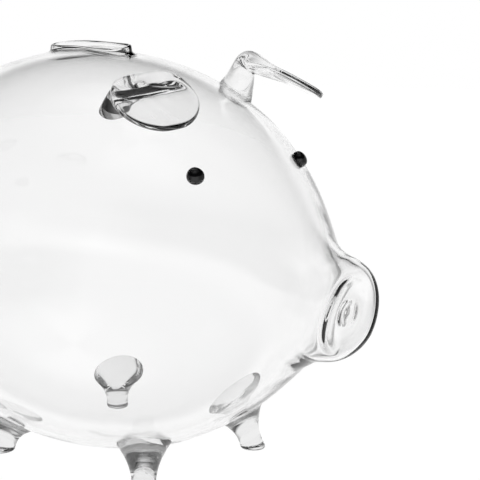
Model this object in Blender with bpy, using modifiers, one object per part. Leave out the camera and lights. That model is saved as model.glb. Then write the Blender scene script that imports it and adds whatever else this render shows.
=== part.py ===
"""A clear blown-glass piggy bank.

The body is an egg of revolution about an axis that dips towards the nose, and the snout is
turned about the same axis.  Every other piece is hot glass fused on: four stub feet, two
paddle ears, two black eye dots, a lip around the coin slot and a curled rod for a tail.

The pig faces -Y, its left side is +X, and the feet stand on z = 0.  The origin lies under
the middle of the bank's length and width.
"""
import math

import bmesh
import bpy
from mathutils import Matrix, Vector

MM = 0.001
MERGE = 0.01 * MM
GAP = 0.3 * MM                        # clearance between two fused pieces

# Body
BODY_RADIUS = 63.0 * MM
BODY_HALF_LENGTH = 80.7 * MM
BODY_DIP = math.radians(3.7)          # the nose end of the axis is lower than the rear end
BODY_HEIGHT = 66.6 * MM               # from the ground to the body's centre
BODY_WALL = 1.8 * MM
BODY_STEPS = 56
BODY_RINGS = 22

# Snout, as (distance along the body axis from the body's centre, radius)
SNOUT_JOIN = 66.0 * MM                # where the body ends and the snout begins
SNOUT_WALL = 1.6 * MM
SNOUT_STEPS = 36
SNOUT_FACE = [
    (97.2 * MM, 0.0 * MM),            # middle of the pushed-in face
    (97.3 * MM, 1.8 * MM),
    (98.3 * MM, 3.6 * MM),
    (98.2 * MM, 7.0 * MM),
    (99.9 * MM, 11.2 * MM),           # front of the rim
    (98.6 * MM, 13.7 * MM),
    (95.4 * MM, 15.2 * MM),           # back of the rim
    (91.0 * MM, 16.2 * MM),
    (86.5 * MM, 18.0 * MM),           # the neck spreads from here into the body
    (82.0 * MM, 20.9 * MM),
    (78.0 * MM, 24.4 * MM),
    (74.0 * MM, 28.4 * MM),
    (70.0 * MM, 32.4 * MM),
]

# Coin slot: it runs along the back, a little behind the middle
SLOT_CENTRE_Y = 3.8 * MM              # behind the body's centre
SLOT_LENGTH = 30.4 * MM
SLOT_WIDTH = 7.0 * MM
SLOT_PINCH = 0.7 * MM                 # each side is this much nearer at the middle
SLOT_POINTS = 40
LIP_WALL = 1.6 * MM
LIP_HEIGHT = 2.6 * MM                 # above the top of the body

# Feet
# Where each pad stands from below the body's centre, its lean (0 is upright, 1 is square to
# the body's surface) and how wide its root spreads
FEET = {
    "front_left": (28.3 * MM, -40.0 * MM, 0.55, 9.8 * MM),
    "front_right": (-25.9 * MM, -42.6 * MM, 0.9, 8.2 * MM),
    "rear_left": (24.9 * MM, 19.9 * MM, 0.0, 8.0 * MM),
    "rear_right": (-27.2 * MM, 21.1 * MM, 0.8, 8.6 * MM),
}
FOOT_RADIUS = 3.8 * MM
FOOT_PAD_RADIUS = 4.0 * MM
FOOT_PAD_HEIGHT = 1.4 * MM
FOOT_PAD_TOP = 2.6 * MM               # where the pad has narrowed to the shank
FOOT_ROOT_START = 4.0 * MM            # the foot widens from here up
FOOT_BURY = 9.0 * MM                  # the stub's own top, which the body cuts off
FOOT_STEPS = 24
FOOT_RINGS = 8

# Ears, from the body's centre, with X counted outwards.  The left one sits a little higher.
EAR_ROOT = {"left": Vector((27.0, -33.6, 49.6)) * MM, "right": Vector((28.4, -34.8, 48.2)) * MM}
EAR_CENTRE = {"left": Vector((28.4, -51.2, 55.6)) * MM, "right": Vector((28.5, -51.5, 52.3)) * MM}
EAR_NORMAL = {"left": Vector((0.39, -0.27, 0.88)), "right": Vector((0.30, -0.43, 0.85))}
EAR_FORWARD = Vector((0.26, -0.86, -0.44))
EAR_HALF_LENGTH = 13.9 * MM
EAR_HALF_WIDTH = 12.0 * MM
EAR_HALF_THICKNESS = 1.0 * MM         # over the outer half of the paddle
EAR_NECK_THICKNESS = 2.6 * MM         # half thickness where the stem runs into the paddle
EAR_STEM_RADIUS = {"left": 4.4 * MM, "right": 3.7 * MM}
EAR_ROOT_RADIUS = {"left": 7.4 * MM, "right": 5.2 * MM}
EAR_PADDLE_START = -0.55              # where the stem turns into the paddle, from its middle
EAR_TIP_ANGLE = 0.12                  # the paddle's last section, which leaves a blunt tip
EAR_SIDES = 18
EAR_STEM_RINGS = 8
EAR_PADDLE_RINGS = 9

# Left eye, as angles from the nose and around from the top
EYE_FROM_NOSE = math.radians(42.2)
EYE_FROM_TOP = math.radians(33.7)
EYE_RADIUS = 2.5 * MM
EYE_SINK = 0.5 * MM                   # how far the bead's middle lies inside the surface

# Tail: a tapered rod that rises from the rear and curls once around
TAIL_FROM_REAR = math.radians(24.0)
TAIL_RADIUS = 2.1 * MM
TAIL_TIP_SCALE = 0.55
TAIL_STEM = 6.0 * MM
TAIL_LOOP_RADIUS = 5.5 * MM
TAIL_LOOP_STEP = 6.5 * MM             # how far one curl travels sideways
TAIL_TURNS = 1.2
TAIL_POINTS = 26

CLEAR_GLASS = (0.93, 0.95, 0.95, 1.0)
BLACK_GLASS = (0.01, 0.01, 0.012, 1.0)

BODY_TURN = Matrix.Rotation(math.radians(90) + BODY_DIP, 4, "X")


def clear_scene():
    for obj in list(bpy.data.objects):
        bpy.data.objects.remove(obj, do_unlink=True)


def new_collection(name):
    collection = bpy.data.collections.new(name)
    bpy.context.scene.collection.children.link(collection)
    return collection


def glass(name, colour, transmission):
    material = bpy.data.materials.new(name)
    material.use_nodes = True
    shader = material.node_tree.nodes["Principled BSDF"]
    shader.inputs["Base Color"].default_value = colour
    shader.inputs["Roughness"].default_value = 0.03
    shader.inputs["Metallic"].default_value = 0.0
    shader.inputs["IOR"].default_value = 1.47
    shader.inputs["Transmission Weight"].default_value = transmission
    return material


class Workshop:
    """Keeps the collections, the materials and the empty that every piece hangs on."""

    def __init__(self):
        self.parts = new_collection("piggy_bank")
        self.cutters = new_collection("cutters")
        self.clear = glass("clear_glass", CLEAR_GLASS, 1.0)
        self.black = glass("black_glass", BLACK_GLASS, 0.0)
        self.frame = bpy.data.objects.new("body_centre", None)
        self.parts.objects.link(self.frame)

    def add_part(self, name, data, material, matrix=Matrix()):
        obj = bpy.data.objects.new(name, data)
        obj.parent = self.frame
        obj.matrix_basis = matrix
        data.materials.append(material)
        self.parts.objects.link(obj)
        return obj

    def add_cutter(self, name, data, matrix=Matrix()):
        obj = bpy.data.objects.new(name, data)
        obj.parent = self.frame
        obj.matrix_basis = matrix
        obj.hide_render = True
        obj.display_type = "WIRE"
        self.cutters.objects.link(obj)
        return obj


def on_body(from_nose, from_top, side=1):
    """A point on the body's surface and its outward normal, from the body's centre."""
    across = math.sin(from_nose) * math.sin(from_top) * side
    up = math.sin(from_nose) * math.cos(from_top)
    ahead = math.cos(from_nose)
    point = Vector((BODY_RADIUS * across, BODY_RADIUS * up, BODY_HALF_LENGTH * ahead))
    normal = Vector((across / BODY_RADIUS, up / BODY_RADIUS, ahead / BODY_HALF_LENGTH))
    turn = BODY_TURN.to_3x3()
    return turn @ point, (turn @ normal).normalized()


def body_normal(point):
    """The outward normal of the body at a point near its surface."""
    local = BODY_TURN.to_3x3().inverted() @ point
    local.x /= BODY_RADIUS ** 2
    local.y /= BODY_RADIUS ** 2
    local.z /= BODY_HALF_LENGTH ** 2
    return (BODY_TURN.to_3x3() @ local).normalized()


def distance_to_body(start, direction):
    """How far a ray from outside goes before it meets the body's surface."""
    scale = Vector((1 / BODY_RADIUS, 1 / BODY_RADIUS, 1 / BODY_HALF_LENGTH))
    to_local = BODY_TURN.to_3x3().inverted()
    start = (to_local @ start) * scale
    direction = (to_local @ direction) * scale
    a = direction.dot(direction)
    b = start.dot(direction)
    c = start.dot(start) - 1.0
    return (-b - math.sqrt(b * b - a * c)) / a


def smooth_path(points, steps):
    """A Catmull-Rom curve through the points."""
    points = [Vector(point) for point in points]
    padded = [points[0]] + points + [points[-1]]
    path = []
    for i in range(1, len(padded) - 2):
        before, start, end, after = padded[i - 1:i + 3]
        for k in range(steps):
            t = k / steps
            path.append(0.5 * (2 * start + (end - before) * t
                               + (2 * before - 5 * start + 4 * end - after) * t ** 2
                               + (3 * start - before - 3 * end + after) * t ** 3))
    path.append(points[-1])
    return path


def profile_mesh(name, outline):
    """Edges through (radius, height) pairs, in the plane that a Screw turns."""
    vertices = [(radius, 0.0, height) for radius, height in outline]
    edges = [(i, i + 1) for i in range(len(vertices) - 1)]
    mesh = bpy.data.meshes.new(name)
    mesh.from_pydata(vertices, edges, [])
    return mesh


def turn_profile(obj, steps):
    screw = obj.modifiers.new("turn", "SCREW")
    screw.axis = "Z"
    screw.steps = steps
    screw.render_steps = steps
    screw.use_merge_vertices = True
    screw.merge_threshold = MERGE
    screw.use_smooth_shade = True


def thicken(obj, wall):
    solidify = obj.modifiers.new("wall", "SOLIDIFY")
    solidify.thickness = wall
    solidify.offset = -1.0


def cut(obj, cutter):
    boolean = obj.modifiers.new("cut_" + cutter.name, "BOOLEAN")
    boolean.operation = "DIFFERENCE"
    boolean.object = cutter


def ellipse_radius(along):
    return BODY_RADIUS * math.sqrt(1.0 - (along / BODY_HALF_LENGTH) ** 2)


def slot_outline(inset):
    """The slot's outline, a pinched stadium, grown outwards by inset."""
    half_width = SLOT_WIDTH / 2
    straight = SLOT_LENGTH / 2 - half_width
    points = []
    for k in range(SLOT_POINTS):
        angle = 2 * math.pi * (k + 0.5) / SLOT_POINTS
        # a superellipse spaces the points evenly around the long stadium
        across = math.copysign(abs(math.cos(angle)) ** 0.55, math.cos(angle))
        along = math.sin(angle)
        pinch = SLOT_PINCH * math.exp(-(along / 0.35) ** 2)
        x = across * (half_width - pinch + inset)
        y = along * (straight + half_width + inset)
        points.append((x, y))
    return points


def slab_mesh(name, outlines, thickness):
    """A flat outline with holes, extruded both ways from z = 0, as a mesh."""
    curve = bpy.data.curves.new(name, "CURVE")
    curve.dimensions = "2D"
    curve.fill_mode = "BOTH"
    curve.extrude = thickness / 2
    for outline in outlines:
        spline = curve.splines.new("POLY")
        spline.points.add(len(outline) - 1)
        for point, (x, y) in zip(spline.points, outline):
            point.co = (x, y, 0.0, 1.0)
        spline.use_cyclic_u = True
    return mesh_from_curve(name, curve)


def mesh_from_curve(name, curve):
    holder = bpy.data.objects.new(name, curve)
    bpy.context.scene.collection.objects.link(holder)
    evaluated = holder.evaluated_get(bpy.context.evaluated_depsgraph_get())
    mesh = bpy.data.meshes.new_from_object(evaluated)
    mesh.name = name
    bpy.data.objects.remove(holder, do_unlink=True)
    bm = bmesh.new()
    bm.from_mesh(mesh)
    bmesh.ops.remove_doubles(bm, verts=bm.verts, dist=MERGE)
    bmesh.ops.recalc_face_normals(bm, faces=bm.faces)
    bm.to_mesh(mesh)
    bm.free()
    return mesh


def make_body_cutter(shop):
    """The body's solid, a gap larger, which shapes the root of each piece fused on it."""
    bm = bmesh.new()
    bmesh.ops.create_uvsphere(bm, u_segments=72, v_segments=48, radius=1.0)
    radius = BODY_RADIUS + GAP
    size = Matrix.Diagonal((radius, radius, BODY_HALF_LENGTH + GAP, 1.0))
    bm.transform(size)
    mesh = bpy.data.meshes.new("body_cutter")
    bm.to_mesh(mesh)
    bm.free()
    return shop.add_cutter("body_cutter", mesh, BODY_TURN)


def make_ground_cutter(shop):
    """A block below the ground that leaves each foot a flat pad."""
    bm = bmesh.new()
    bmesh.ops.create_cube(bm, size=1.0)
    depth = 20 * MM
    width = 4 * BODY_RADIUS
    bm.transform(Matrix.Diagonal((width, width, depth, 1.0)))
    mesh = bpy.data.meshes.new("ground_cutter")
    bm.to_mesh(mesh)
    bm.free()
    below = Matrix.Translation((0.0, 0.0, -BODY_HEIGHT - depth / 2))
    return shop.add_cutter("ground_cutter", mesh, below)


def make_slot_cutter(shop):
    mesh = slab_mesh("slot_cutter", [slot_outline(0.0)], 30 * MM)
    place = Matrix.Translation((0.0, SLOT_CENTRE_Y, BODY_RADIUS))
    return shop.add_cutter("slot_cutter", mesh, place)


def make_body(shop, slot_cutter):
    """An egg-shaped shell, open at the nose for the snout and at the top for coins."""
    nose = math.acos(SNOUT_JOIN / BODY_HALF_LENGTH)
    outline = []
    for k in range(BODY_RINGS + 1):
        angle = nose + (math.pi - nose) * k / BODY_RINGS
        radius = BODY_RADIUS * math.sin(angle) if k < BODY_RINGS else 0.0
        outline.append((radius, BODY_HALF_LENGTH * math.cos(angle)))
    mesh = profile_mesh("body_shell", outline)
    body = shop.add_part("body_shell", mesh, shop.clear, BODY_TURN)
    turn_profile(body, BODY_STEPS)
    thicken(body, BODY_WALL)
    cut(body, slot_cutter)


def make_snout(shop):
    """A short neck that flares to a rolled rim around a pushed-in face."""
    start = SNOUT_JOIN + GAP
    points = SNOUT_FACE + [(start, ellipse_radius(start))]
    outline = [(max(point.y, 0.0), point.x) for point in smooth_path(points, 2)]
    snout = shop.add_part("snout", profile_mesh("snout", outline), shop.clear, BODY_TURN)
    turn_profile(snout, SNOUT_STEPS)
    thicken(snout, SNOUT_WALL)


def make_slot_lip(shop, body_cutter):
    """An upright wall around the coin slot that follows the curve of the back."""
    height = 20 * MM
    mesh = slab_mesh("slot_lip", [slot_outline(LIP_WALL), slot_outline(0.0)], height)
    top = BODY_RADIUS + LIP_HEIGHT
    place = Matrix.Translation((0.0, SLOT_CENTRE_Y, top - height / 2))
    lip = shop.add_part("slot_lip", mesh, shop.clear, place)
    cut(lip, body_cutter)


def make_foot(shop, name, place, body_cutter, ground_cutter):
    """A solid stub that spreads into the belly and ends in a flat pad."""
    x, y, lean, root_radius = place
    tip = Vector((x, y, -BODY_HEIGHT))
    under = tip + Vector((0.0, 0.0, distance_to_body(tip, Vector((0.0, 0.0, 1.0)))))
    axis = Vector((0.0, 0.0, 1.0)).lerp(-body_normal(under), lean).normalized()
    length = distance_to_body(tip, axis)
    outline = [(0.0, length + FOOT_BURY), (root_radius, length + FOOT_BURY)]
    for k in range(FOOT_RINGS + 1):
        height = length + (FOOT_ROOT_START - length) * k / FOOT_RINGS
        spread = (height - FOOT_ROOT_START) / (length - FOOT_ROOT_START)
        widening = (root_radius - FOOT_RADIUS) * spread ** 1.9
        outline.append((FOOT_RADIUS + widening, height))
    outline.append((FOOT_RADIUS, FOOT_PAD_TOP))
    outline.append((FOOT_PAD_RADIUS, FOOT_PAD_HEIGHT))
    outline.append((FOOT_PAD_RADIUS, -2 * MM))
    outline.append((0.0, -2 * MM))
    upright = Matrix.Translation(tip) @ axis.to_track_quat("Z", "Y").to_matrix().to_4x4()
    foot = shop.add_part(name, profile_mesh(name, outline), shop.clear, upright)
    turn_profile(foot, FOOT_STEPS)
    cut(foot, body_cutter)
    cut(foot, ground_cutter)


def loft(name, rings):
    """A closed solid through rings of points, with a flat cap at each end."""
    bm = bmesh.new()
    loops = [[bm.verts.new(point) for point in ring] for ring in rings]
    count = len(loops[0])
    for lower, upper in zip(loops, loops[1:]):
        for i in range(count):
            j = (i + 1) % count
            bm.faces.new((lower[i], lower[j], upper[j], upper[i]))
    bm.faces.new(list(reversed(loops[0])))
    bm.faces.new(loops[-1])
    bmesh.ops.recalc_face_normals(bm, faces=bm.faces)
    mesh = bpy.data.meshes.new(name)
    bm.to_mesh(mesh)
    bm.free()
    return mesh


def bezier(p0, p1, p2, p3, t):
    return (p0 * (1 - t) ** 3 + p1 * 3 * t * (1 - t) ** 2
            + p2 * 3 * t ** 2 * (1 - t) + p3 * t ** 3)


def ear_frame(side_name):
    """Unit vectors along and across the paddle, with X counted outwards."""
    normal = EAR_NORMAL[side_name].normalized()
    along = (EAR_FORWARD - normal * EAR_FORWARD.dot(normal)).normalized()
    return along, normal.cross(along)


def ear_stations(side_name):
    """Centre, half width and half thickness of each section, from the root to the tip."""
    normal = body_normal(EAR_ROOT[side_name])
    root = EAR_ROOT[side_name] - normal * 2 * MM
    middle = EAR_CENTRE[side_name]
    forward, _ = ear_frame(side_name)
    back = middle + forward * EAR_HALF_LENGTH * EAR_PADDLE_START
    end_width = EAR_HALF_WIDTH * math.sqrt(1 - EAR_PADDLE_START ** 2)
    stem = EAR_STEM_RADIUS[side_name]
    stations = []
    for k in range(EAR_STEM_RINGS):
        t = k / EAR_STEM_RINGS
        centre = bezier(root, root + normal * 10 * MM, back - forward * 7 * MM, back, t)
        root_flare = (EAR_ROOT_RADIUS[side_name] - stem) * (1 - t) ** 4
        width = stem + root_flare + (end_width - stem) * t ** 3
        thickness = stem + root_flare + (EAR_NECK_THICKNESS - stem) * t
        stations.append((centre, width, thickness))
    for k in range(EAR_PADDLE_RINGS + 1):
        share = k / EAR_PADDLE_RINGS
        angle = math.acos(EAR_PADDLE_START) * (1 - share) + EAR_TIP_ANGLE * share
        centre = middle + forward * EAR_HALF_LENGTH * math.cos(angle)
        taper = max(math.cos(angle) / EAR_PADDLE_START, 0.0) ** 1.5
        thickness = EAR_HALF_THICKNESS + (EAR_NECK_THICKNESS - EAR_HALF_THICKNESS) * taper
        stations.append((centre, EAR_HALF_WIDTH * math.sin(angle), thickness))
    return stations


def ear_rings(side, side_name):
    """Oval sections along the ear's centre line, mirrored for the right ear."""
    _, across = ear_frame(side_name)
    stations = ear_stations(side_name)
    rings = []
    for k, (centre, width, thickness) in enumerate(stations):
        ahead = stations[min(k + 1, len(stations) - 1)][0]
        behind = stations[max(k - 1, 0)][0]
        along = (ahead - behind).normalized()
        up = along.cross(across).normalized()
        ring = []
        for i in range(EAR_SIDES):
            angle = 2 * math.pi * i / EAR_SIDES
            offset = across * math.cos(angle) * width + up * math.sin(angle) * thickness
            point = centre + offset
            ring.append(Vector((point.x * side, point.y, point.z)))
        rings.append(ring)
    return rings


def make_ear(shop, side, side_name, body_cutter):
    """A thick stem that bends forward and flattens into a round paddle."""
    name = "ear_" + side_name
    ear = shop.add_part(name, loft(name, ear_rings(side, side_name)), shop.clear)
    cut(ear, body_cutter)


def make_eye(shop, name, side, body_cutter):
    """A black bead melted on to the surface."""
    point, normal = on_body(EYE_FROM_NOSE, EYE_FROM_TOP, side)
    bm = bmesh.new()
    bmesh.ops.create_uvsphere(bm, u_segments=20, v_segments=12, radius=EYE_RADIUS)
    mesh = bpy.data.meshes.new(name)
    bm.to_mesh(mesh)
    bm.free()
    turn = normal.to_track_quat("Z", "Y").to_matrix().to_4x4()
    place = Matrix.Translation(point - normal * EYE_SINK) @ turn
    eye = shop.add_part(name, mesh, shop.black, place)
    cut(eye, body_cutter)


def make_tail(shop):
    """A rod that leaves the rear square to the surface and curls once around."""
    point, normal = on_body(math.pi - TAIL_FROM_REAR, 0.0)
    start = point + normal * 1.5 * GAP
    sideways = Vector((1.0, 0.0, 0.0))
    rise = sideways.cross(normal).normalized()
    if rise.z < 0:
        rise = -rise
    hub = start + normal * TAIL_STEM + rise * TAIL_LOOP_RADIUS
    route = [start, start + normal * TAIL_STEM * 0.4]
    for k in range(TAIL_POINTS + 1):
        turn = TAIL_TURNS * k / TAIL_POINTS
        angle = 2 * math.pi * turn
        shift = sideways * TAIL_LOOP_STEP * (turn - TAIL_TURNS / 2)
        arm = normal * math.sin(angle) - rise * math.cos(angle)
        route.append(hub + arm * TAIL_LOOP_RADIUS * (1 - 0.25 * turn) + shift)
    curve = bpy.data.curves.new("tail", "CURVE")
    curve.dimensions = "3D"
    curve.bevel_depth = TAIL_RADIUS
    curve.bevel_resolution = 2
    curve.use_fill_caps = True
    spline = curve.splines.new("POLY")
    spline.points.add(len(route) - 1)
    for k, (vertex, place) in enumerate(zip(spline.points, route)):
        vertex.co = (*place, 1.0)
        vertex.radius = 1.0 + (TAIL_TIP_SCALE - 1.0) * k / (len(route) - 1)
    shop.add_part("tail", curve, shop.clear)


def stand_over_origin(shop):
    """Raises the body to its height and centres the bank's length on the origin."""
    shop.frame.location = (0.0, 0.0, BODY_HEIGHT)
    bpy.context.view_layer.update()
    depsgraph = bpy.context.evaluated_depsgraph_get()
    reach = []
    for obj in shop.parts.objects:
        if obj.type != "EMPTY":
            evaluated = obj.evaluated_get(depsgraph)
            mesh = evaluated.to_mesh()
            reach.extend((evaluated.matrix_world @ vertex.co).y for vertex in mesh.vertices)
            evaluated.to_mesh_clear()
    shop.frame.location.y = -(min(reach) + max(reach)) / 2


def main():
    clear_scene()
    shop = Workshop()
    body_cutter = make_body_cutter(shop)
    ground_cutter = make_ground_cutter(shop)
    make_body(shop, make_slot_cutter(shop))
    make_snout(shop)
    make_slot_lip(shop, body_cutter)
    for side, side_name in ((1, "left"), (-1, "right")):
        make_ear(shop, side, side_name, body_cutter)
        make_eye(shop, "eye_" + side_name, side, body_cutter)
    for place_name, place in FEET.items():
        make_foot(shop, "foot_" + place_name, place, body_cutter, ground_cutter)
    make_tail(shop)
    stand_over_origin(shop)


main()
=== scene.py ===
"""A clear hand-blown glass piggy bank on a white light table."""
import math

import bpy
import numpy as np
from mathutils import Matrix, Vector


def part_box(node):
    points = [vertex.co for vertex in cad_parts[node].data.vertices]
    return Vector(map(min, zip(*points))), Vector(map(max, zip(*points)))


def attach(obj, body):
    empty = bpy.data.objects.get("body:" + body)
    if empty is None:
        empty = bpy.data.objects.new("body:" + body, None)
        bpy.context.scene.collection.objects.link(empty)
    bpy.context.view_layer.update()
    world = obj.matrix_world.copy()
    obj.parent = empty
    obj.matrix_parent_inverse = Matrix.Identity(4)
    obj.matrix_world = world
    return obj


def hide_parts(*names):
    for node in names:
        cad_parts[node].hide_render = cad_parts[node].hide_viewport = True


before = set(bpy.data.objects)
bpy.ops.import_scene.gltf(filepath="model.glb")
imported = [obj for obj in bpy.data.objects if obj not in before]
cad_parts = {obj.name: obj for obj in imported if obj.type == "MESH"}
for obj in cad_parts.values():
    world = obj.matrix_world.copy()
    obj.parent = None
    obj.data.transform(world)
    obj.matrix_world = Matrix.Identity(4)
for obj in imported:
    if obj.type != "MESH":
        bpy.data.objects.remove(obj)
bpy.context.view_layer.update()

MM = 0.001
FUSE = 0.05 * MM                      # how far a fused root sinks into the wall it sits on
SHARP_ANGLE = math.radians(50)        # edges turned by more than this stay sharp

# Body and snout, in the same sizes as the CAD model
BODY_RADIUS = 63.0 * MM
BODY_HALF_LENGTH = 80.7 * MM
BODY_DIP = math.radians(3.7)
BODY_WALL = 1.8 * MM
SNOUT_JOIN = 66.0 * MM
SNOUT_WALL = 1.6 * MM
SNOUT_FACE = [                        # along the axis and radius in mm, from the middle outwards
    (97.2, 0.0), (97.3, 1.8), (98.3, 3.6), (98.2, 7.0), (99.75, 11.2), (98.6, 13.7),
    (95.4, 15.2), (91.0, 16.2), (86.5, 18.0), (82.0, 20.9), (78.0, 24.4), (74.0, 28.4),
    (70.0, 32.4),
]
BODY_ROWS = 130
SNOUT_ROWS = 110
BODY_SIDES = 200
NECK_ROWS = slice(110, 165)           # the rows where the egg runs into the neck
WALL_THINS_FROM = 60.0 * MM
WALL_THINS_OVER = 25.0 * MM

# The press mark on the rim, in the body's own axes
PRESS_DIRECTION = np.array((-0.62, -0.78))
PRESS_FROM = 84.0 * MM                # along the body's axis
PRESS_RUN = 12.0 * MM                 # how far along the axis it takes to reach its full depth
PRESS_RADIUS = 16.0 * MM              # from the axis out to the rim
PRESS_DEPTH = 3.4 * MM
PRESS_SPREAD = 6.0 * MM               # how far it pushes the middle of the face aside

# Coin slot
SLOT_CENTRE_Y = 3.8 * MM
SLOT_LENGTH = 30.4 * MM
SLOT_WIDTH = 7.0 * MM
SLOT_PINCH = 0.7 * MM
SLOT_PINCH_REACH = 0.35               # share of the slot's half length
SLOT_SIDE_POWER = 0.55                # below 1 the sides run straighter
SLOT_CUT_REACH = 8.0 * MM             # the cut's half height
LIP_SECTION = [                       # distance from the slot in mm, share of the lip's height
    (0.0, 0.0), (0.0, 0.35), (0.05, 0.7), (0.2, 0.86), (0.5, 0.97), (0.8, 1.0), (1.1, 0.97),
    (1.4, 0.86), (1.52, 0.68), (1.6, 0.42), (1.85, 0.2), (2.4, 0.07), (3.2, 0.0),
]
LIP_RISE = 1.55 * MM                  # above the top of the body, half way between its walls
LIP_TILT = 0.70 * MM                  # how much higher the left wall stands, and lower the right
LIP_WAVE = 0.22 * MM
LIP_SLOPE = 0.3 * MM                  # how much the right wall falls towards the front
LIP_SIDES = 200

# Feet
FEET = {                              # x and y of the pad, lean, radius of the root
    "front_left": (28.3 * MM, -40.0 * MM, 0.55, 9.8 * MM),
    "front_right": (-25.9 * MM, -42.6 * MM, 0.9, 8.2 * MM),
    "rear_left": (24.9 * MM, 19.9 * MM, 0.0, 8.0 * MM),
    "rear_right": (-27.2 * MM, 21.1 * MM, 0.8, 8.6 * MM),
}
FOOT_RADIUS = 3.8 * MM
FOOT_PAD_RADIUS = 4.0 * MM
FOOT_PAD_EDGE = 0.9 * MM
FOOT_ROOT_START = 4.0 * MM
FOOT_ROOT_POWER = 1.9                 # above 1 the shank spreads late
FOOT_WOBBLE = 0.03                    # how far from round a foot may be
FOOT_TURN_SHARE = 0.8                 # of the length, in which sections go from level to square
FOOT_SIDES = 72
FOOT_ROWS = 60

# Ears, with X counted outwards
EAR_ROOT = {
    "left": np.array((27.0, -33.6, 49.6)) * MM,
    "right": np.array((28.4, -34.8, 48.2)) * MM,
}
EAR_CENTRE = {
    "left": np.array((28.4, -51.2, 55.6)) * MM,
    "right": np.array((28.5, -51.5, 52.3)) * MM,
}
EAR_NORMAL = {"left": np.array((0.39, -0.27, 0.88)), "right": np.array((0.30, -0.43, 0.85))}
EAR_FORWARD = np.array((0.26, -0.86, -0.44))
EAR_HALF_LENGTH = 13.9 * MM
EAR_HALF_WIDTH = 12.0 * MM
EAR_HALF_THICKNESS = 1.0 * MM
EAR_NECK_THICKNESS = 2.6 * MM
EAR_STEM_RADIUS = {"left": 4.4 * MM, "right": 3.7 * MM}
EAR_ROOT_RADIUS = {"left": 7.4 * MM, "right": 5.2 * MM}
EAR_RISE = {"left": 11.0 * MM, "right": 7.5 * MM}      # how far the stem stands up before it bends
EAR_REACH = {"left": 8.0 * MM, "right": 3.0 * MM}      # how far back it lines up with the paddle
EAR_PADDLE_START = -0.55              # where the stem turns into the paddle, from its middle
EAR_ROOT_DEPTH = 4.0 * MM             # how far inside the body the stem starts, before its trim
EAR_RIM_BULGE = 0.22                  # how much thicker the paddle is along its edge
EAR_LEAST = 0.02 * MM                 # half size of the last section at the tip
EAR_SIDES = 96

# Eyes and tail
EYE_FROM_NOSE = math.radians(42.2)
EYE_FROM_TOP = math.radians(33.7)
EYE_RADIUS = 2.5 * MM
EYE_DEPTH = 0.55 * MM
EYE_SHOULDER = 0.25 * MM
EYE_HEIGHT = 2.0 * MM
EYE_SIDES = 48
TAIL_FROM_REAR = math.radians(24.0)
TAIL_RADIUS = 2.1 * MM
TAIL_TIP_SCALE = 0.55
TAIL_STEM = 6.0 * MM
TAIL_STAND_OFF = 0.45 * MM            # from the body to the start of the stem
TAIL_LOOP_RADIUS = 5.5 * MM
TAIL_LOOP_STEP = 6.5 * MM
TAIL_LOOP_CLOSING = 0.25              # share of the loop's radius lost in each turn
TAIL_TURNS = 1.2
TAIL_ROOT_FLARE = 1.6 * MM
TAIL_SIDES = 40

WHITE = (1.0, 1.0, 1.0, 1.0)

# Studio: brightness by height of direction (0 down, 1 up) and by angle round the axis
HEIGHT_STOPS = [(0.0, 1.0), (0.65, 1.0), (0.72, 0.0), (0.90, 0.0), (0.98, 0.7), (1.0, 0.7)]
AROUND_STOPS = [(0.0, 0.40), (0.35, 0.40), (0.80, 1.0), (1.0, 1.0)]
PANEL_AZIMUTH = math.radians(43.8)
# between these radii the table's glow fades from plain white to painted panels of light and shade
TABLE_BRIGHT_RADIUS = 0.14
TABLE_DARK_RADIUS = 0.30
TABLE_RADIUS = 1.5
TABLE_DROP = 0.2 * MM                 # how far the table lies under the pads
TABLE_RINGS = 12
TABLE_SIDES = 48

# Camera, placed round the body's centre
CAMERA_DISTANCE = 0.441
CAMERA_AZIMUTH = math.radians(-43.78)
CAMERA_ELEVATION = math.radians(11.15)
CAMERA_YAW = math.radians(5.77)
CAMERA_PITCH = math.radians(0.15)
CAMERA_LENS = 101.95


def body_centre():
    """The middle of the egg, from the box of the CAD shell's rear and sides."""
    low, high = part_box("body_shell")
    rear_reach = math.hypot(BODY_HALF_LENGTH * math.cos(BODY_DIP),
                            BODY_RADIUS * math.sin(BODY_DIP))
    height = math.hypot(BODY_RADIUS * math.cos(BODY_DIP),
                        BODY_HALF_LENGTH * math.sin(BODY_DIP))
    return np.array((0.0, high[1] - rear_reach, low[2] + height))


CENTRE = body_centre()
GROUND = -CENTRE[2]
TURN = np.array(Matrix.Rotation(math.radians(90) + BODY_DIP, 3, "X"))
EGG = np.array((BODY_RADIUS, BODY_RADIUS, BODY_HALF_LENGTH))


def unit(vector):
    return vector / np.linalg.norm(vector)


def full_turn(count):
    """Evenly spaced angles round a circle."""
    return np.arange(count) / count * 2 * math.pi


def rot(points):
    """From the body's own axes (Z to the nose, Y up) to upright ones."""
    return np.asarray(points) @ TURN.T


def unrot(points):
    """From upright axes to the body's own."""
    return np.asarray(points) @ TURN


def egg_level(points, inset=0.0):
    """Below 1 inside the body's outer surface, above 1 outside, for upright points."""
    return np.linalg.norm(unrot(points) / (EGG - inset), axis=-1)


def egg_normal(point):
    """The outward normal of the body at a point on it."""
    return unit(rot(unrot(point) / EGG ** 2))


def on_egg(from_nose, from_top, side=1):
    """A point on the body and its normal, by the angle from the nose and then from the top."""
    across = math.sin(from_nose) * math.sin(from_top) * side
    up = math.sin(from_nose) * math.cos(from_top)
    point = rot(EGG * np.array((across, up, math.cos(from_nose))))
    return point, egg_normal(point)


def drop_on_egg(point, direction, inset=0.0):
    """Where the line through a point meets the outer surface on the point's own side."""
    scale = 1.0 / (EGG - inset)
    start = unrot(point) * scale
    step = unrot(direction) * scale
    a = step @ step
    b = start @ step
    c = start @ start - 1.0
    return point + direction * (-b - math.sqrt(max(b * b - a * c, 0.0))) / a


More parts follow.
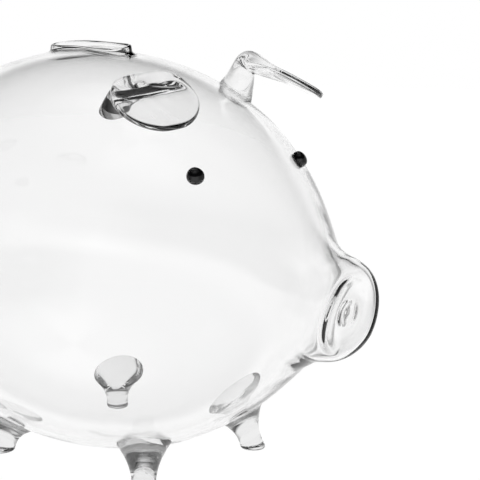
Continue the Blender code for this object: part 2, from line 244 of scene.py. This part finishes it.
def smooth_path(points, steps):
    """A Catmull-Rom curve through the points."""
    points = [np.array(point, float) for point in points]
    padded = [2 * points[0] - points[1]] + points + [2 * points[-1] - points[-2]]
    path = []
    for i in range(1, len(padded) - 2):
        before, start, end, after = padded[i - 1:i + 3]
        for t in np.arange(steps) / steps:
            path.append(0.5 * (2 * start + (end - before) * t
                               + (2 * before - 5 * start + 4 * end - after) * t ** 2
                               + (3 * start - before - 3 * end + after) * t ** 3))
    path.append(points[-1])
    return np.array(path)


def even_path(path, count):
    """The same curve with points at equal distances."""
    lengths = np.r_[0.0, np.cumsum(np.linalg.norm(np.diff(path, axis=0), axis=1))]
    at = np.linspace(0.0, lengths[-1], count)
    return np.stack([np.interp(at, lengths, column) for column in path.T], axis=1)


def volume(points, faces):
    """Six times the volume in a closed surface, below 0 where its faces point inwards."""
    points = np.asarray(points)
    total = 0.0
    for size in {len(face) for face in faces}:
        corners = points[np.array([face for face in faces if len(face) == size])]
        for k in range(1, size - 1):
            cross = np.cross(corners[:, k], corners[:, k + 1])
            total += np.einsum("ij,ij->", corners[:, 0], cross)
    return total


def shade(mesh):
    """Shades a mesh smooth, but for its sharp edges."""
    mesh.shade_smooth()
    mesh.set_sharp_from_angle(angle=SHARP_ANGLE)


def piece(name, points, faces, material, node):
    """A smooth mesh in the world that stands for one CAD node."""
    if volume(points, faces) < 0:
        faces = [face[::-1] for face in faces]
    mesh = bpy.data.meshes.new(name)
    mesh.from_pydata((np.asarray(points) + CENTRE).tolist(), [], faces)
    shade(mesh)
    obj = bpy.data.objects.new(name, mesh)
    bpy.context.scene.collection.objects.link(obj)
    mesh.materials.append(material)
    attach(obj, "root")
    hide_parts(node)
    return obj


def skin(rings, start_pole=None, end_pole=None, closed=False):
    """Points and faces of a surface through rings, with a point closing each end."""
    count = len(rings[0])
    points = [tuple(point) for ring in rings for point in ring]
    faces = []
    last = len(rings) if closed else len(rings) - 1
    for k in range(last):
        low = k * count
        high = ((k + 1) % len(rings)) * count
        for i in range(count):
            j = (i + 1) % count
            faces.append((low + i, low + j, high + j, high + i))
    if start_pole is not None:
        points.append(tuple(start_pole))
        pole = len(points) - 1
        faces += [(pole, (i + 1) % count, i) for i in range(count)]
    if end_pole is not None:
        points.append(tuple(end_pole))
        pole = len(points) - 1
        base = (len(rings) - 1) * count
        faces += [(pole, base + i, base + (i + 1) % count) for i in range(count)]
    return points, faces


def turned_rings(profile, count):
    """Rings about the body's axis for (radius, along) pairs."""
    angle = full_turn(count)
    rings = []
    for radius, along in profile:
        ring = np.stack([radius * np.cos(angle), radius * np.sin(angle),
                         np.full(count, along)], axis=1)
        rings.append(rot(skew_snout(ring)))
    return rings


def skew_snout(points):
    """Pushes the snout's rim back and outwards on its lower right, where it was pressed."""
    away = points[..., :2] @ PRESS_DIRECTION
    share = np.clip((points[..., 2] - PRESS_FROM) / PRESS_RUN, 0.0, 1.0)
    share = share * share * (3 - 2 * share)
    side = np.clip(away / PRESS_RADIUS, 0.0, 1.2) ** 1.5
    moved = points.copy()
    moved[..., 2] -= PRESS_DEPTH * share * side
    inner = np.clip(1.0 - np.linalg.norm(points[..., :2], axis=-1) / PRESS_RADIUS, 0.0, 1.0)
    spread = PRESS_SPREAD * share * side * inner
    moved[..., :2] += spread[..., None] * PRESS_DIRECTION
    return moved


def inner_profile(profile, wall):
    """The profile moved inwards by the wall, with its ends kept on the axis."""
    tangent = np.gradient(profile, axis=0)
    tangent /= np.linalg.norm(tangent, axis=1)[:, None]
    normal = np.stack([tangent[:, 1], -tangent[:, 0]], axis=1)
    inner = profile - normal * np.reshape(wall, (-1, 1))
    inner[[0, -1], 0] = 0.0
    return inner


def turned_shell(profile, wall, count):
    """A hollow shell about the body's axis, from one pole to the other."""
    inner = inner_profile(profile, wall)
    points = []
    faces = []
    for line, flip in ((profile, 1), (inner, -1)):
        rings = turned_rings(line[1:-1], count)
        poles = rot((0.0, 0.0, line[0][1])), rot(skew_snout(np.array((0.0, 0.0, line[-1][1]))))
        more_points, more_faces = skin(rings, *poles)
        faces += [tuple(corner + len(points) for corner in face[::flip]) for face in more_faces]
        points += more_points
    return points, faces


# ---------------------------------------------------------------- materials

def new_material(name):
    """A material, with the nodes and links of its tree and its shader."""
    material = bpy.data.materials.new(name)
    material.use_nodes = True
    nodes = material.node_tree.nodes
    return material, nodes, material.node_tree.links, nodes["Principled BSDF"]


def glass_material(name, tint_and_shade, waviness, wave_size, stretch):
    """Clear glass whose surface undulates a little, as fire-polished glass does; its base colour is
    a slight own tint, lowered further as painted shade for thick pieces.
    """
    material, nodes, links, shader = new_material(name)
    # base colour: the glass's own slight tint, plus painted shade where it is set well below white
    shader.inputs["Base Color"].default_value = (tint_and_shade, tint_and_shade, tint_and_shade, 1.0)
    shader.inputs["Roughness"].default_value = 0.0
    shader.inputs["IOR"].default_value = 1.47
    shader.inputs["Transmission Weight"].default_value = 1.0
    place = nodes.new("ShaderNodeTexCoord")
    draw = nodes.new("ShaderNodeMapping")
    draw.inputs["Scale"].default_value = stretch
    waves = nodes.new("ShaderNodeTexNoise")
    waves.inputs["Scale"].default_value = 1.0 / wave_size
    waves.inputs["Detail"].default_value = 0.0
    bump = nodes.new("ShaderNodeBump")
    bump.inputs["Strength"].default_value = 1.0
    bump.inputs["Distance"].default_value = waviness
    links.new(place.outputs["Object"], draw.inputs["Vector"])
    links.new(draw.outputs["Vector"], waves.inputs["Vector"])
    links.new(waves.outputs["Fac"], bump.inputs["Height"])
    links.new(bump.outputs["Normal"], shader.inputs["Normal"])
    return material


def black_material():
    """Opaque black glass, glossy, with faint mottling in its colour."""
    material, nodes, links, shader = new_material("black_bead_glass")
    shader.inputs["Roughness"].default_value = 0.08
    shader.inputs["IOR"].default_value = 1.5
    place = nodes.new("ShaderNodeTexCoord")
    mottle = nodes.new("ShaderNodeTexNoise")
    mottle.inputs["Scale"].default_value = 900.0
    colours = nodes.new("ShaderNodeValToRGB")
    colours.color_ramp.elements[0].color = (0.002, 0.002, 0.002, 1.0)
    colours.color_ramp.elements[1].color = (0.012, 0.012, 0.013, 1.0)
    links.new(place.outputs["Object"], mottle.inputs["Vector"])
    links.new(mottle.outputs["Fac"], colours.inputs["Fac"])
    links.new(colours.outputs["Color"], shader.inputs["Base Color"])
    return material


# ---------------------------------------------------------------- body

def slot_ring(count):
    """The slot's pinched stadium outline and its outward normals."""
    half_width = SLOT_WIDTH / 2
    samples = 720
    angle = full_turn(samples) + math.pi / samples
    across = np.sign(np.cos(angle)) * np.abs(np.cos(angle)) ** SLOT_SIDE_POWER
    along = np.sin(angle)
    pinch = SLOT_PINCH * np.exp(-(along / SLOT_PINCH_REACH) ** 2)
    ring = np.stack([across * (half_width - pinch), along * SLOT_LENGTH / 2], axis=1)
    ring = even_path(np.vstack([ring, ring[:1]]), count + 1)[:-1]
    for _ in range(6):
        ring = (np.roll(ring, 1, 0) + 2 * ring + np.roll(ring, -1, 0)) / 4
    tangent = np.roll(ring, -1, 0) - np.roll(ring, 1, 0)
    normal = np.stack([tangent[:, 1], -tangent[:, 0]], axis=1)
    normal /= np.linalg.norm(normal, axis=1)[:, None]
    return ring, normal


def slot_cutter():
    """A prism through the top of the shell."""
    ring, _ = slot_ring(160)
    ring = ring + (0.0, SLOT_CENTRE_Y)
    levels = [BODY_RADIUS - SLOT_CUT_REACH, BODY_RADIUS + SLOT_CUT_REACH]
    rings = [np.c_[ring, np.full(len(ring), level)] for level in levels]
    points, faces = skin(rings)
    count = len(ring)
    faces += [tuple(range(count))[::-1], tuple(range(count, 2 * count))]
    mesh = bpy.data.meshes.new("slot_cutter")
    mesh.from_pydata((np.asarray(points) + CENTRE).tolist(), [], faces)
    return mesh


def cut_with(obj, cutter_mesh):
    """Applies a Boolean difference at once, and removes the cutter."""
    cutter = bpy.data.objects.new("cutter", cutter_mesh)
    bpy.context.scene.collection.objects.link(cutter)
    boolean = obj.modifiers.new("cut", "BOOLEAN")
    boolean.object = cutter
    depsgraph = bpy.context.evaluated_depsgraph_get()
    mesh = bpy.data.meshes.new_from_object(obj.evaluated_get(depsgraph))
    obj.modifiers.clear()
    obj.data = mesh
    bpy.data.objects.remove(cutter, do_unlink=True)


def body_profile():
    """The egg from its rear pole to the neck, then the snout on to the middle of its face."""
    nose = math.acos(SNOUT_JOIN / BODY_HALF_LENGTH)
    angle = np.linspace(math.pi, nose, 240)
    egg = np.stack([BODY_RADIUS * np.sin(angle), BODY_HALF_LENGTH * np.cos(angle)], axis=1)
    face = [(radius * MM, along * MM) for along, radius in SNOUT_FACE[::-1]]
    snout = smooth_path([egg[-1]] + face, 12)
    return egg, snout


def make_body(material):
    """The body with its neck, rolled rim and pushed-in face, blown in one."""
    egg, snout = body_profile()
    profile = np.vstack([even_path(egg, BODY_ROWS), even_path(snout, SNOUT_ROWS)[1:]])
    profile[NECK_ROWS] = soften(profile[NECK_ROWS], 60)
    profile = soften(profile, 2)
    profile[[0, -1], 0] = 0.0
    reach = np.clip((profile[:, 1] - WALL_THINS_FROM) / WALL_THINS_OVER, 0.0, 1.0)
    wall = BODY_WALL + (SNOUT_WALL - BODY_WALL) * reach
    points, faces = turned_shell(profile, wall, BODY_SIDES)
    body = piece("blown_body", points, faces, material, "body_shell")
    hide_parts("snout")
    cut_with(body, slot_cutter())
    shade(body.data)
    return body


def make_lip(material):
    """The drawn-up wall around the slot, wavy along its top, spread at its foot."""
    base = [(step, 0.0) for step in np.linspace(3.0, 0.2, 10)]
    section = np.vstack([smooth_path(LIP_SECTION, 4), base])
    ring, normal = slot_ring(LIP_SIDES)
    rings = []
    for spread, rise in section:
        flat = ring + normal * spread * MM + (0.0, SLOT_CENTRE_Y)
        loop = []
        for x, y in flat:
            foot = drop_on_egg(np.array((x, y, 2 * BODY_RADIUS)), np.array((0.0, 0.0, -1.0)))
            side = np.clip(x / (SLOT_WIDTH / 2), -1, 1)
            ahead = -(y - SLOT_CENTRE_Y) / (SLOT_LENGTH / 2)
            top = BODY_RADIUS + LIP_RISE + LIP_TILT * side
            top += LIP_WAVE * math.cos(3.0 * ahead + 0.6) - LIP_SLOPE * ahead * (1 - side) / 2
            loop.append((x, y, foot[2] - FUSE + rise * (top - foot[2] + FUSE)))
        rings.append(np.array(loop))
    points, faces = skin(rings, closed=True)
    return piece("slot_lip_wall", points, faces, material, "slot_lip")


# ---------------------------------------------------------------- feet

def foot_profile(length, root_radius):
    """(radius, height) up the side of a foot, from its pad to well inside the belly."""
    edge = FOOT_PAD_EDGE
    flat = FOOT_PAD_RADIUS - edge
    points = [(flat, 0.0)]
    for angle in np.radians(np.arange(15, 91, 15)):
        points.append((flat + edge * math.sin(angle), edge * (1 - math.cos(angle))))
    points.append((FOOT_PAD_RADIUS - 0.1 * MM, 1.5 * MM))
    points.append((FOOT_RADIUS, 2.9 * MM))
    for share in np.arange(1, 9) / 8:
        height = FOOT_ROOT_START + (length - FOOT_ROOT_START) * share
        spread = (root_radius - FOOT_RADIUS) * share ** FOOT_ROOT_POWER
        points.append((FOOT_RADIUS + spread, height))
    points.append((root_radius + 1.2 * MM, length + 2 * MM))
    points.append((root_radius + 1.9 * MM, length + 5 * MM))
    points.append((root_radius + 2.0 * MM, length + 10 * MM))
    return even_path(smooth_path(points, 6), 160)


def foot_column(tip, axis, length, profile, angle, squash):
    """One line up a foot's side. Its sections are level at the pad and square to the axis above."""
    up = np.array((0.0, 0.0, 1.0))
    column = []
    for radius, height in profile:
        turned = min(height / (FOOT_TURN_SHARE * length), 1.0)
        square = unit(up * (1 - turned) + axis * turned)
        side = unit(np.cross((0.0, 1.0, 0.0), square))
        front = np.cross(square, side)
        spoke = side * math.cos(angle) + front * math.sin(angle)
        column.append(tip + axis * height + spoke * radius * squash)
    return np.array(column)


def end_at_wall(column):
    """Cuts a line that runs up into the body where it has sunk into the wall."""
    level = egg_level(column, FUSE)
    inside = int(np.argmax(level < 1.0))
    a, b = column[inside - 1], column[inside]
    t = (level[inside - 1] - 1.0) / (level[inside - 1] - level[inside])
    return np.vstack([column[:inside], a + (b - a) * t])


def make_foot(name, place, seed, material):
    """A drawn foot that leans out of the belly and ends in a small flat pad."""
    x, y, lean, root_radius = place
    tip = np.array((x, y, GROUND))
    up = np.array((0.0, 0.0, 1.0))
    under = egg_normal(drop_on_egg(tip, up))
    axis = unit((1 - lean) * up - lean * under)
    length = np.linalg.norm(drop_on_egg(tip, axis) - tip)
    profile = foot_profile(length, root_radius)
    wobble = np.random.default_rng(seed).uniform(-FOOT_WOBBLE, FOOT_WOBBLE, 2)
    columns = []
    for angle in full_turn(FOOT_SIDES):
        squash = 1 + wobble[0] * math.cos(2 * angle) + wobble[1] * math.sin(2 * angle)
        column = foot_column(tip, axis, length, profile, angle, squash)
        columns.append(even_path(end_at_wall(column), FOOT_ROWS))
    rings = list(np.stack(columns, axis=1))
    rings[0][:, 2] = GROUND
    pad = rings[0].mean(axis=0)
    pole = drop_to_level(rings[-1].mean(axis=0), -under)
    points, faces = skin(rings + root_cap(rings[-1], -under, 12), pad, pole)
    return piece(name + "_glass", points, faces, material, name)


def drop_to_level(point, inward):
    """Moves a point along the surface's normal on to the fused root's depth."""
    outside = point - inward * 20 * MM
    return drop_on_egg(outside, inward, FUSE)


def root_cap(ring, inward, steps):
    """Rings that close a root along the wall, from its edge towards its middle."""
    centre = ring.mean(axis=0)
    cap = []
    for k in range(1, steps):
        blend = ring * (1 - k / steps) + centre * (k / steps)
        cap.append(np.array([drop_to_level(point, inward) for point in blend]))
    return cap


# ---------------------------------------------------------------- ears

def bezier(p0, p1, p2, p3, t):
    """The point at t on a cubic curve."""
    return (p0 * (1 - t) ** 3 + p1 * 3 * t * (1 - t) ** 2
            + p2 * 3 * t ** 2 * (1 - t) + p3 * t ** 3)


def ear_stations(side_name):
    """Centre, half width and half thickness of each section, from the root to the tip."""
    normal = unit(EAR_NORMAL[side_name])
    forward = unit(EAR_FORWARD - normal * (EAR_FORWARD @ normal))
    middle = EAR_CENTRE[side_name]
    root_normal = egg_normal(EAR_ROOT[side_name])
    root = EAR_ROOT[side_name] - root_normal * EAR_ROOT_DEPTH
    back = middle + forward * EAR_HALF_LENGTH * EAR_PADDLE_START
    end_width = EAR_HALF_WIDTH * math.sqrt(1 - EAR_PADDLE_START ** 2)
    stem = EAR_STEM_RADIUS[side_name]
    rise = root + root_normal * EAR_RISE[side_name]
    reach = back - forward * EAR_REACH[side_name]
    stations = []
    for t in np.linspace(0.0, 1.0, 40, endpoint=False):
        centre = bezier(root, rise, reach, back, t)
        flare = (EAR_ROOT_RADIUS[side_name] - stem) * (1 - t) ** 4
        width = stem + flare + (end_width - stem) * t ** 3
        thickness = stem + flare + (EAR_NECK_THICKNESS - stem) * t
        stations.append((centre, width, thickness))
    for angle in np.linspace(math.acos(EAR_PADDLE_START), 0.0, 60):
        centre = middle + forward * EAR_HALF_LENGTH * math.cos(angle)
        to_tip = EAR_HALF_LENGTH * (1 - math.cos(angle))
        curl = math.sqrt(max(1 - max(1 - to_tip / EAR_HALF_THICKNESS, 0.0) ** 2, 0.0))
        taper = max(math.cos(angle) / EAR_PADDLE_START, 0.0) ** 1.5
        thickness = EAR_HALF_THICKNESS + (EAR_NECK_THICKNESS - EAR_HALF_THICKNESS) * taper
        width = EAR_HALF_WIDTH * math.sin(angle)
        stations.append((centre, max(width, EAR_LEAST), max(thickness * curl, EAR_LEAST)))
    return stations, normal, forward


def soften(values, times):
    """Averages a run of values with its neighbours, keeping both ends."""
    values = np.array(values, float)
    for _ in range(times):
        values[1:-1] = (values[:-2] + 2 * values[1:-1] + values[2:]) / 4
    return values


def oval(width, thickness, count):
    """A stadium-like section, with flat faces and round edges, as half widths x and heights."""
    angle = full_turn(count)
    flat = max(width - thickness, 0.0)
    x = flat * np.sin(np.cos(angle) * math.pi / 2) + min(width, thickness) * np.cos(angle)
    bulge = 1.0 + EAR_RIM_BULGE * (np.abs(x) / width) ** 4 * (1 - thickness / width)
    roundness = 0.55 + 0.45 * min(thickness / width, 1)
    height = np.sign(np.sin(angle)) * np.abs(np.sin(angle)) ** roundness
    return x, height * thickness * bulge


def make_ear(side, side_name, material):
    """A thick stem that bends forward and flattens into a paddle with a round rim."""
    stations, normal, forward = ear_stations(side_name)
    across = np.cross(normal, forward)
    centres = soften([station[0] for station in stations], 12)
    widths = soften([station[1] for station in stations], 6)
    thicknesses = soften([station[2] for station in stations], 4)
    rings = []
    for k, centre in enumerate(centres):
        ahead = centres[min(k + 1, len(centres) - 1)]
        behind = centres[max(k - 1, 0)]
        up = unit(np.cross(unit(ahead - behind), across))
        x, y = oval(widths[k], thicknesses[k], EAR_SIDES)
        rings.append(centre + x[:, None] * across + y[:, None] * up)
    rings = fuse_to_body(rings, egg_normal(EAR_ROOT[side_name]))
    mirror = np.array((side, 1.0, 1.0))
    rings = [ring * mirror for ring in rings]
    start = rings[0].mean(axis=0)
    points, faces = skin(rings, start, rings[-1].mean(axis=0))
    return piece("ear_paddle_" + side_name, points, faces, material, "ear_" + side_name)


def fuse_to_body(rings, outward):
    """Trims a loft that starts inside the body so that its root lies just in the wall."""
    columns = np.stack(rings, axis=1)
    trimmed = []
    for column in columns:
        level = egg_level(column, FUSE)
        outside = int(np.argmax(level > 1.0))
        a, b = column[outside - 1], column[outside]
        t = (1.0 - level[outside - 1]) / (level[outside] - level[outside - 1])
        trimmed.append(np.vstack([a + (b - a) * t, column[outside:]]))
    shortest = min(len(column) for column in trimmed)
    evened = []
    for column in trimmed:
        split = len(column) - shortest + 12
        evened.append(np.vstack([even_path(column[:split], 14), column[split:]]))
    rings = list(np.stack(evened, axis=1))
    return root_cap(rings[0], -outward, 10)[::-1] + rings


# ---------------------------------------------------------------- eyes and tail

def make_eye(side, side_name, material):
    """A bead melted on to the surface, a little flattened, with a fused skirt."""
    point, normal = on_egg(EYE_FROM_NOSE, EYE_FROM_TOP, side)
    first = unit(np.cross(normal, (0.0, 0.0, 1.0)))
    second = np.cross(normal, first)
    dome = [(1.02, -EYE_DEPTH), (1.03, -0.1 * MM), (1.0, EYE_SHOULDER)]
    for angle in np.radians(np.arange(20, 90, 7)):
        rise = (EYE_HEIGHT - EYE_SHOULDER) * math.sin(angle)
        dome.append((math.cos(angle), EYE_SHOULDER + rise))
    rings = []
    for share, height in dome:
        ring = []
        for angle in full_turn(EYE_SIDES):
            lump = 1 + 0.02 * math.sin(3 * angle + side)
            spoke = first * math.cos(angle) + second * math.sin(angle)
            ring.append(point + spoke * share * EYE_RADIUS * lump + normal * height)
        rings.append(np.array(ring))
    base = point - normal * EYE_DEPTH
    top = point + normal * EYE_HEIGHT
    points, faces = skin(rings, base, top)
    return piece("eye_bead_" + side_name, points, faces, material, "eye_" + side_name)


def tail_route():
    """The middle of the tail's rod: straight out, then round a loop that closes a little."""
    point, normal = on_egg(math.pi - TAIL_FROM_REAR, 0.0)
    start = point - normal * FUSE
    sideways = np.array((1.0, 0.0, 0.0))
    rise = unit(np.cross(sideways, normal))
    rise = rise * np.sign(rise[2])
    hub = point + normal * (TAIL_STEM + TAIL_STAND_OFF) + rise * TAIL_LOOP_RADIUS
    route = [start, start + normal * TAIL_STEM * 0.4]
    for turn in np.linspace(0.0, TAIL_TURNS, 60):
        angle = 2 * math.pi * turn
        shift = sideways * TAIL_LOOP_STEP * (turn - TAIL_TURNS / 2)
        arm = normal * math.sin(angle) - rise * math.cos(angle)
        radius = TAIL_LOOP_RADIUS * (1 - TAIL_LOOP_CLOSING * turn)
        route.append(hub + arm * radius + shift)
    return even_path(np.array(route), 140), normal


def make_tail(material):
    """A drawn rod with a spread root and a round tip, curled once."""
    route, normal = tail_route()
    route = soften(route, 40)
    angle = full_turn(TAIL_SIDES)[:, None]
    side = unit(np.cross(normal, (1.0, 0.0, 0.0)))
    rings = []
    for k, centre in enumerate(route):
        ahead = route[min(k + 1, len(route) - 1)]
        behind = route[max(k - 1, 0)]
        along = unit(ahead - behind)
        side = unit(side - along * (side @ along))
        front = np.cross(along, side)
        share = k / (len(route) - 1)
        radius = TAIL_RADIUS * (1 + (TAIL_TIP_SCALE - 1) * share)
        radius += TAIL_ROOT_FLARE * math.exp(-(k / 5.0) ** 2)
        rings.append(centre + radius * (np.cos(angle) * side + np.sin(angle) * front))
    rings[0] = np.array([drop_to_level(point, -normal) for point in rings[0]])
    tip = route[-1]
    along = unit(route[-1] - route[-2])
    spokes = rings[-1] - tip
    tip_radius = TAIL_RADIUS * TAIL_TIP_SCALE
    for bend in np.radians((20, 40, 60, 78)):
        rings.append(tip + spokes * math.cos(bend) + along * tip_radius * math.sin(bend))
    points, faces = skin(rings, rings[0].mean(axis=0), tip + along * tip_radius)
    return piece("tail_curl", points, faces, material, "tail")


# ---------------------------------------------------------------- studio

def table_mesh():
    """A round sheet whose rings lie closer together near the middle."""
    rings = []
    angle = full_turn(TABLE_SIDES)
    for k in range(1, TABLE_RINGS + 1):
        radius = TABLE_RADIUS * (k / TABLE_RINGS) ** 2
        rings.append(np.stack([radius * np.cos(angle), radius * np.sin(angle),
                               np.full(TABLE_SIDES, -TABLE_DROP)], axis=1))
    points, faces = skin(rings, (0.0, 0.0, -TABLE_DROP))
    mesh = bpy.data.meshes.new("light_table")
    mesh.from_pydata(points, [], [face[::-1] for face in faces])
    return mesh


def table_material():
    """Glows plain white under the piggy bank, and further out with painted light and shade copied
    from the studio's panels.
    """
    material, nodes, links, shader = new_material("light_table")
    shader.inputs["Base Color"].default_value = (0.06, 0.06, 0.06, 1.0)
    shader.inputs["Roughness"].default_value = 0.9
    shader.inputs["Specular IOR Level"].default_value = 0.0
    shader.inputs["Emission Strength"].default_value = 1.0
    place = nodes.new("ShaderNodeTexCoord")
    split = nodes.new("ShaderNodeSeparateXYZ")
    links.new(place.outputs["Object"], split.inputs["Vector"])
    reach = nodes.new("ShaderNodeVectorMath")
    reach.operation = "LENGTH"
    links.new(place.outputs["Object"], reach.inputs[0])
    edge = nodes.new("ShaderNodeMapRange")
    edge.inputs["From Min"].default_value = TABLE_BRIGHT_RADIUS
    edge.inputs["From Max"].default_value = TABLE_DARK_RADIUS
    links.new(reach.outputs["Value"], edge.inputs["Value"])
    fade, near, far, faded = colour_mix(nodes)
    near.default_value = WHITE
    links.new(edge.outputs["Result"], fade.inputs["Factor"])
    # beyond the middle the glow copies the studio's bright and grey panels: painted light and
    # shade, seen in the glass
    links.new(panels(nodes, links, split), far)
    links.new(white_to_camera(nodes, links, faded), shader.inputs["Emission Color"])
    return material


def make_floor():
    """A pale light table that glows, plain white where it is seen directly."""
    floor = bpy.data.objects.new("light_table", table_mesh())
    bpy.context.scene.collection.objects.link(floor)
    floor.data.materials.append(table_material())


def make_world():
    """White low down, with a dark band above that outlines the glass, and a soft top light."""
    world = bpy.data.worlds.new("studio")
    bpy.context.scene.world = world
    world.use_nodes = True
    nodes = world.node_tree.nodes
    links = world.node_tree.links
    place = nodes.new("ShaderNodeTexCoord")
    split = nodes.new("ShaderNodeSeparateXYZ")
    links.new(place.outputs["Generated"], split.inputs["Vector"])
    height = grey_ramp(nodes, HEIGHT_STOPS)
    links.new(half_range(nodes, links, split.outputs["Z"]), height.inputs["Fac"])
    darker, by_height, by_angle, product = colour_mix(nodes, "MULTIPLY")
    darker.inputs["Factor"].default_value = 1.0
    links.new(height.outputs["Color"], by_height)
    links.new(panels(nodes, links, split), by_angle)
    sky = white_to_camera(nodes, links, product)
    links.new(sky, nodes["Background"].inputs["Color"])


def panels(nodes, links, split):
    """The level by the angle round the upright axis: white ahead and behind, grey at the sides."""
    turn = nodes.new("ShaderNodeMath")
    turn.operation = "ARCTAN2"
    links.new(split.outputs["X"], turn.inputs[0])
    links.new(split.outputs["Y"], turn.inputs[1])
    double = nodes.new("ShaderNodeMath")
    double.operation = "MULTIPLY_ADD"
    double.inputs[1].default_value = 2.0
    double.inputs[2].default_value = -2.0 * PANEL_AZIMUTH
    links.new(turn.outputs["Value"], double.inputs[0])
    swing = nodes.new("ShaderNodeMath")
    swing.operation = "COSINE"
    links.new(double.outputs["Value"], swing.inputs[0])
    around = grey_ramp(nodes, AROUND_STOPS)
    links.new(half_range(nodes, links, swing.outputs["Value"]), around.inputs["Fac"])
    return around.outputs["Color"]


def colour_mix(nodes, blend_type="MIX"):
    """A mix node for colours, with its two colour sockets and its colour output."""
    mix = nodes.new("ShaderNodeMix")
    mix.data_type = "RGBA"
    mix.blend_type = blend_type
    return mix, mix.inputs[6], mix.inputs[7], mix.outputs[2]


def white_to_camera(nodes, links, colour):
    """The colour for light that meets the glass, and plain white for the bare background."""
    rays = nodes.new("ShaderNodeLightPath")
    choose, unseen, seen, chosen = colour_mix(nodes)
    links.new(rays.outputs["Is Camera Ray"], choose.inputs["Factor"])
    links.new(colour, unseen)
    seen.default_value = WHITE
    return chosen


def grey_ramp(nodes, stops):
    """A ramp of greys through (position, level) pairs."""
    ramp = nodes.new("ShaderNodeValToRGB")
    elements = ramp.color_ramp.elements
    while len(elements) < len(stops):
        elements.new(0.5)
    for element, (position, level) in zip(elements, stops):
        element.position = position
        element.color = (level, level, level, 1.0)
    return ramp


def half_range(nodes, links, value):
    """Maps -1..1 on to 0..1."""
    remap = nodes.new("ShaderNodeMapRange")
    remap.inputs["From Min"].default_value = -1.0
    remap.inputs["From Max"].default_value = 1.0
    links.new(value, remap.inputs["Value"])
    return remap.outputs["Result"]


def make_camera():
    """A long lens, a little above and to the pig's right, with the head in view."""
    level = math.cos(CAMERA_ELEVATION)
    back = np.array((math.sin(CAMERA_AZIMUTH) * level, -math.cos(CAMERA_AZIMUTH) * level,
                     math.sin(CAMERA_ELEVATION)))
    right = unit(np.cross(-back, (0.0, 0.0, 1.0)))
    forward = -back * math.cos(CAMERA_YAW) + right * math.sin(CAMERA_YAW)
    up = np.cross(unit(np.cross(forward, (0.0, 0.0, 1.0))), forward)
    forward = forward * math.cos(CAMERA_PITCH) + up * math.sin(CAMERA_PITCH)
    data = bpy.data.cameras.new("camera")
    data.lens = CAMERA_LENS
    data.sensor_width = 36.0
    data.clip_start = 0.01
    camera = bpy.data.objects.new("camera", data)
    camera.location = CENTRE + back * CAMERA_DISTANCE
    camera.rotation_euler = Vector(forward).to_track_quat("-Z", "Y").to_euler()
    bpy.context.scene.collection.objects.link(camera)
    bpy.context.scene.camera = camera


thin_glass = glass_material("blown_glass", 0.986, 0.04 * MM, 12 * MM, (1.0, 1.0, 1.0))
lip_glass = glass_material("lip_glass", 0.97, 0.06 * MM, 4 * MM, (1.0, 0.4, 1.0))
# drawn and pressed glass: darker copies of the same clear glass, painted shade for the grey of the
# thick feet, tail and ears
solid_glass = glass_material("drawn_glass", 0.84, 0.08 * MM, 3 * MM, (1.0, 1.0, 0.35))
ear_glass = glass_material("pressed_glass", 0.92, 0.06 * MM, 3 * MM, (1.0, 0.18, 0.45))
black_glass = black_material()

clear_pieces = [make_body(thin_glass), make_lip(lip_glass)]
for seed, (place_name, place) in enumerate(FEET.items()):
    clear_pieces.append(make_foot("foot_" + place_name, place, seed, solid_glass))
for ear_side, ear_name in ((1, "left"), (-1, "right")):
    clear_pieces.append(make_ear(ear_side, ear_name, ear_glass))
    make_eye(ear_side, ear_name, black_glass)
clear_pieces.append(make_tail(solid_glass))

make_floor()
make_world()
make_camera()
bpy.context.scene.view_settings.view_transform = "Standard"
